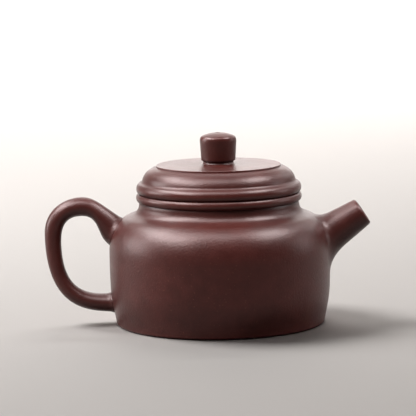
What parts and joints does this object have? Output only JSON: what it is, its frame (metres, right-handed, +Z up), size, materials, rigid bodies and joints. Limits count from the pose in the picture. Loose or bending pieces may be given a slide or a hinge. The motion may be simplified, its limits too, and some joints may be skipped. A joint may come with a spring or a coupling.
{
  "type": "teapot",
  "caption": "Small unglazed clay teapot: round body with soft shoulder and short neck, stub spout with inner strainer, ear handle, and flanged lift-off lid with a pierced knob.",
  "frame": {"origin": "on the pot's axis, at the plane the flat base stands on", "axes": "+X towards the spout, -X towards the handle, +Z up through the knob"},
  "size_m": [0.1404, 0.095, 0.0821],
  "materials": {
    "clay": "satin",
    "lid_clay": "satin",
    "inner_clay": "matte"
  },
  "bodies": {
    "pot": {"base_slab": "clay", "body_wall": "clay", "shoulder_slab": "clay", "neck_collar": "clay", "mouth_rim": "clay", "spout": "clay", "handle": "clay", "strainer_dome": "inner_clay"},
    "lid": {"lid_thread": "lid_clay", "lid_cover": "lid_clay", "lid_crown_disc": "lid_clay", "lid_flange": "lid_clay", "knob": "lid_clay"}
  },
  "joints": [
    {"name": "lid_lift", "type": "slide", "parent": "pot", "child": "lid", "axis": [0, 0, 1], "range_m": [0, 0.04]}
  ]
}
